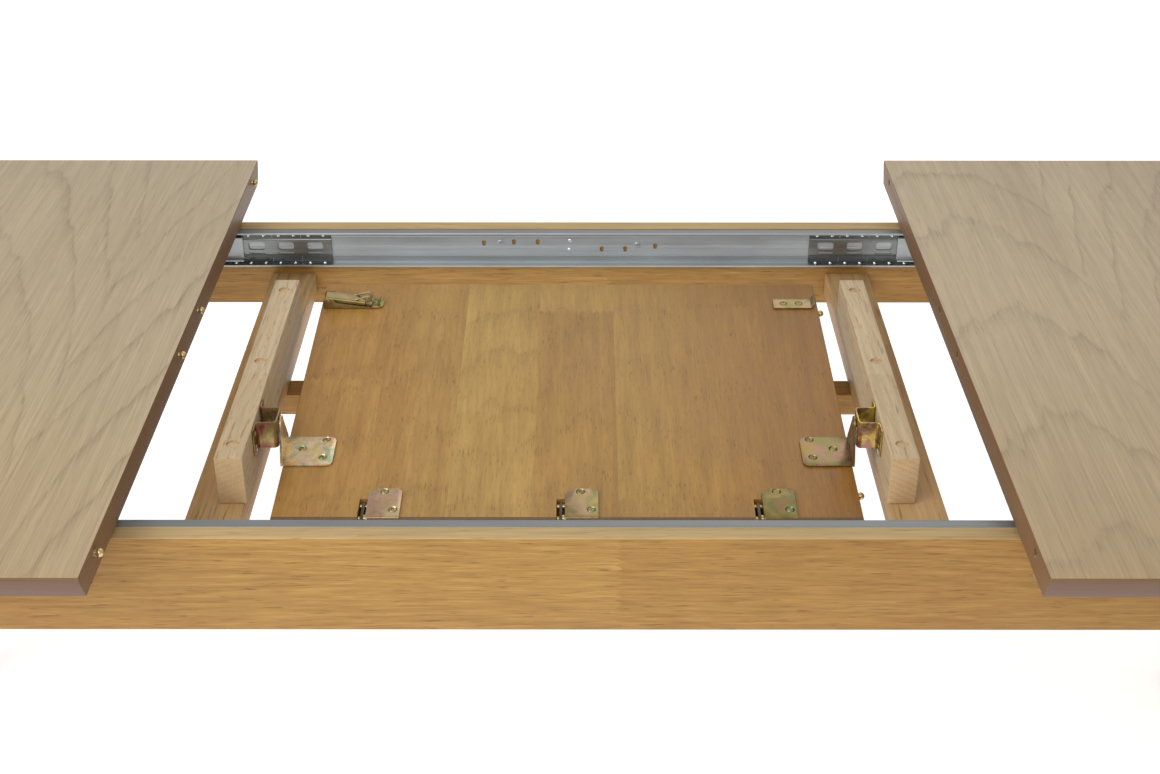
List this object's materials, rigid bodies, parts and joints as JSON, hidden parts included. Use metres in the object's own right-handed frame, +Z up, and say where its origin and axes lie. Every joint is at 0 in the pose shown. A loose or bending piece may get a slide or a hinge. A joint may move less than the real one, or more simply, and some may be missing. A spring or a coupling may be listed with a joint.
{
  "type": "extending dining table",
  "caption": "Rectangular wooden dining table with sliding top halves on ball-bearing slides and a folding leaf that pivots up from a stow rail beneath.",
  "frame": {"origin": "on the floor, under the centre of the table", "axes": "+X along the table's length, to the right; +Y to the back; +Z up; the front apron is at -Y"},
  "size_m": [2.605, 0.9, 0.75],
  "materials": {
    "oak_veneer": "grey-beige oak veneer, open grain, matt lacquer, brown edges",
    "apron_wood": "honey-brown hardwood, satin lacquer",
    "beam_wood": "pale sanded hardwood, unlacquered",
    "leaf_wood": "finger-jointed hardwood strips, thin satin lacquer",
    "slide_steel": "bright zinc-plated rolled steel",
    "yellow_zinc": "yellow passivated zinc plating, iridescent",
    "pin_brass": "turned brass"
  },
  "bodies": {
    "frame": {"back_apron": "apron_wood", "back_outer_slide": "slide_steel", "front_apron": "apron_wood", "front_outer_slide": "slide_steel", "left_back_corner_block": "beam_wood", "left_back_leg": "apron_wood", "left_crossbeam": "beam_wood", "left_end_apron": "apron_wood", "left_front_corner_block": "beam_wood", "left_front_leg": "apron_wood", "left_pivot_bracket": "yellow_zinc", "left_spacer_block": "beam_wood", "right_back_corner_block": "beam_wood", "right_back_leg": "apron_wood", "right_crossbeam": "beam_wood", "right_end_apron": "apron_wood", "right_front_corner_block": "beam_wood", "right_front_leg": "apron_wood", "right_pivot_bracket": "yellow_zinc", "right_spacer_block": "beam_wood", "stow_rail": "beam_wood"},
    "left_top": {"left_back_cleat": "beam_wood", "left_back_inner_slide": "slide_steel", "left_front_cleat": "beam_wood", "left_front_inner_slide": "slide_steel", "left_top_panel": "oak_veneer", "left_top_pin_1": "pin_brass", "left_top_pin_2": "pin_brass", "left_top_pin_3": "pin_brass", "left_top_pin_4": "pin_brass", "left_top_strike": "yellow_zinc"},
    "right_top": {"right_back_cleat": "beam_wood", "right_back_inner_slide": "slide_steel", "right_front_cleat": "beam_wood", "right_front_inner_slide": "slide_steel", "right_top_latch_base": "yellow_zinc", "right_top_panel": "oak_veneer"},
    "left_cages": {"left_back_ball_cage": "slide_steel", "left_front_ball_cage": "slide_steel"},
    "right_cages": {"right_back_ball_cage": "slide_steel", "right_front_ball_cage": "slide_steel"},
    "leaf_a": {"fold_hinge_1_plate_a": "yellow_zinc", "fold_hinge_2_plate_a": "yellow_zinc", "fold_hinge_3_plate_a": "yellow_zinc", "leaf_a_panel": "leaf_wood", "leaf_a_pin_1": "pin_brass", "leaf_a_pin_2": "pin_brass", "leaf_latch_base": "yellow_zinc", "leaf_strike": "yellow_zinc", "left_pivot_plate": "yellow_zinc", "right_pivot_plate": "yellow_zinc"},
    "leaf_b": {"fold_hinge_1_plate_b": "yellow_zinc", "fold_hinge_2_plate_b": "yellow_zinc", "fold_hinge_3_plate_b": "yellow_zinc", "leaf_b_panel": "leaf_wood", "leaf_b_pin_1": "pin_brass", "leaf_b_pin_2": "pin_brass"},
    "leaf_latch_lever": {"leaf_latch_lever": "yellow_zinc"},
    "top_latch_lever": {"right_top_latch_lever": "yellow_zinc"}
  },
  "joints": [
    {"name": "left_top_slide", "type": "slide", "parent": "frame", "child": "left_top", "axis": [-1, 0, 0], "range_m": [-0.4022, 0]},
    {"name": "right_top_slide", "type": "slide", "parent": "frame", "child": "right_top", "axis": [1, 0, 0], "range_m": [-0.4022, 0]},
    {"name": "left_cage_roll", "type": "slide", "parent": "frame", "child": "left_cages", "axis": [-1, 0, 0], "range_m": [-0.2012, 0]},
    {"name": "right_cage_roll", "type": "slide", "parent": "frame", "child": "right_cages", "axis": [1, 0, 0], "range_m": [-0.2012, 0]},
    {"name": "leaf_flip", "type": "hinge", "parent": "frame", "child": "leaf_a", "pos_m": [0, -0.11, 0.6935], "axis": [1, 0, 0], "range_deg": [0, 176]},
    {"name": "leaf_fold", "type": "hinge", "parent": "leaf_a", "child": "leaf_b", "pos_m": [0, -0.21577, 0.62916], "axis": [1, 0, 0], "range_deg": [0, 0.93]},
    {"name": "leaf_latch_swing", "type": "hinge", "parent": "leaf_a", "child": "leaf_latch_lever", "pos_m": [-0.281, 0.18461, 0.68784], "axis": [0, -0.9976, -0.0698], "range_deg": [0, 105]},
    {"name": "top_latch_swing", "type": "hinge", "parent": "right_top", "child": "top_latch_lever", "pos_m": [0.4115, -0.4035, 0.7117], "axis": [0, 1, 0], "range_deg": [0, 105]}
  ],
  "couplings": [
    {"joint": "left_cage_roll", "follows": "left_top_slide", "ratio": 0.5},
    {"joint": "right_cage_roll", "follows": "right_top_slide", "ratio": 0.5}
  ]
}
